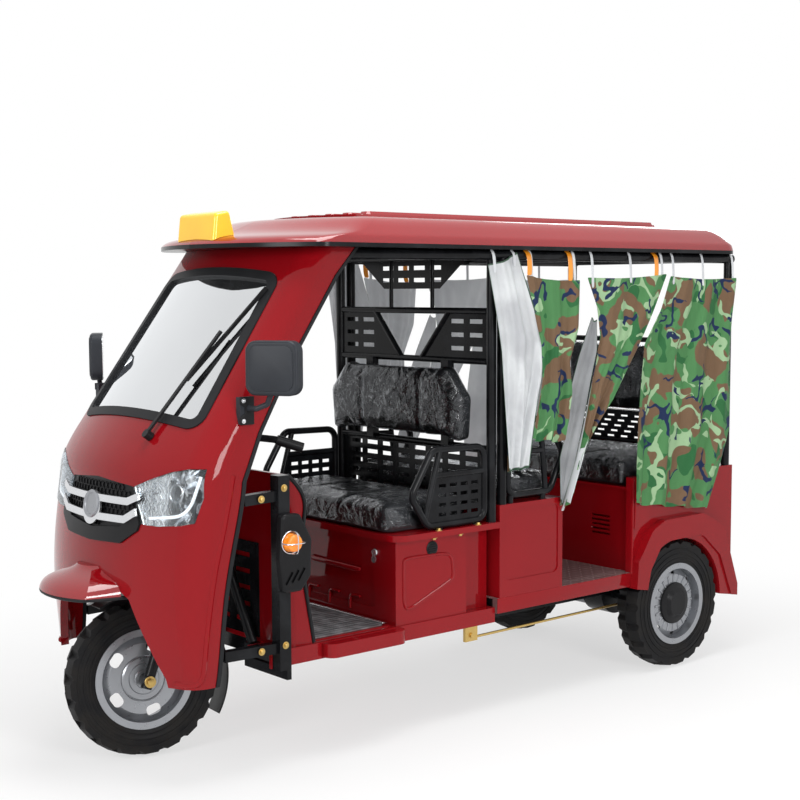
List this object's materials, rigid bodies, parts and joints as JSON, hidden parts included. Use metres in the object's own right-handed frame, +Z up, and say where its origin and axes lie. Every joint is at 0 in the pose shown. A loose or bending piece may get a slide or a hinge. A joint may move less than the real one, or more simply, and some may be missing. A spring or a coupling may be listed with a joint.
{
  "type": "auto rickshaw",
  "caption": "Electric three-wheeled passenger rickshaw with a raked glazed cab front, facing bench seats, tube frame, side curtains, crowned roof, turning wheels and steering fork",
  "frame": {"origin": "ground level under the middle of the bounding box", "axes": "+X forward, +Y to the vehicle's left, +Z up"},
  "size_m": [3, 1.2888, 1.832],
  "materials": {
    "red_shell": "glossy metallic red paint",
    "red_steel": "glossy red paint over pressed steel",
    "floor_plate": "chequered plate",
    "black_steel": "black powder coat",
    "brass_rod": "yellow passivated steel rod",
    "grey_metal": "cast and bare metal",
    "black_plastic": "black moulded plastic",
    "mirror_housing": "dark grey moulded plastic",
    "silver_trim": "bright plated trim",
    "lamp_clear": "clear lamp with bright reflector",
    "lamp_amber": "amber lens",
    "sign_yellow": "yellow translucent sign, blank",
    "glass": "clear windshield glass",
    "seal_rubber": "dark rubber seal",
    "tyre_rubber": "black tyre rubber",
    "rim_silver": "silver painted pressed steel",
    "seat_leather": "black and grey leatherette under clear film",
    "curtain_cloth": "woodland pattern cloth with silver lining",
    "battery_case": "battery block"
  },
  "bodies": {
    "body": {"battery_pack": "battery_case", "bench_box": "red_steel", "bench_cushion": "seat_leather", "bench_rails": "black_steel", "brake_linkage": "brass_rod", "cab_shell": "red_shell", "cab_trim": "seal_rubber", "chassis_frame": "black_steel", "curtains_left": "curtain_cloth", "curtains_right": "curtain_cloth", "drive_motor": "grey_metal", "driver_backrest": "seat_leather", "driver_cushion": "seat_leather", "driver_seat_box": "red_steel", "driver_seat_rails": "black_steel", "front_beak": "red_shell", "front_floor": "red_steel", "front_guards": "black_steel", "front_neck": "black_steel", "grille": "black_plastic", "grille_bars": "silver_trim", "headlamps": "lamp_clear", "lamp_panels": "black_steel", "leaf_springs": "black_steel", "leg_shield": "red_steel", "mirrors": "mirror_housing", "partition_frame": "black_steel", "rear_axle": "black_steel", "rear_backrest": "seat_leather", "rear_bumper": "black_steel", "rear_cushion": "seat_leather", "rear_floor": "floor_plate", "rear_riser": "red_steel", "rear_side_panels": "red_shell", "roof": "red_shell", "roof_frame": "black_steel", "roof_liner": "black_steel", "roof_sign": "sign_yellow", "side_lamps": "lamp_amber", "splash_guard": "black_steel", "windshield": "glass", "windshield_seal": "seal_rubber", "wiper": "black_plastic"},
    "steering": {"front_fork": "black_steel", "handlebar": "grey_metal", "front_mudguard": "black_plastic"},
    "front_wheel": {"front_tyre": "tyre_rubber", "front_rim": "rim_silver"},
    "rear_wheel_left": {"rear_tyre_left": "tyre_rubber", "rear_rim_left": "rim_silver", "hub_cap_left": "black_plastic"},
    "rear_wheel_right": {"rear_tyre_right": "tyre_rubber", "rear_rim_right": "rim_silver", "hub_cap_right": "black_plastic"}
  },
  "joints": [
    {"name": "steering", "type": "hinge", "parent": "body", "child": "steering", "pos_m": [1.17, 0, 0.25888], "axis": [-0.3584, 0, 0.9336], "range_deg": [-25, 55]},
    {"name": "front_wheel_spin", "type": "hinge", "parent": "steering", "child": "front_wheel", "pos_m": [1.17, 0, 0.25888], "axis": [0.2416, 0.9659, 0.0928], "continuous": true},
    {"name": "rear_left_spin", "type": "hinge", "parent": "body", "child": "rear_wheel_left", "pos_m": [-1.07, 0.427, 0.265], "axis": [0, 1, 0], "continuous": true},
    {"name": "rear_right_spin", "type": "hinge", "parent": "body", "child": "rear_wheel_right", "pos_m": [-1.07, -0.427, 0.265], "axis": [0, 1, 0], "continuous": true}
  ]
}
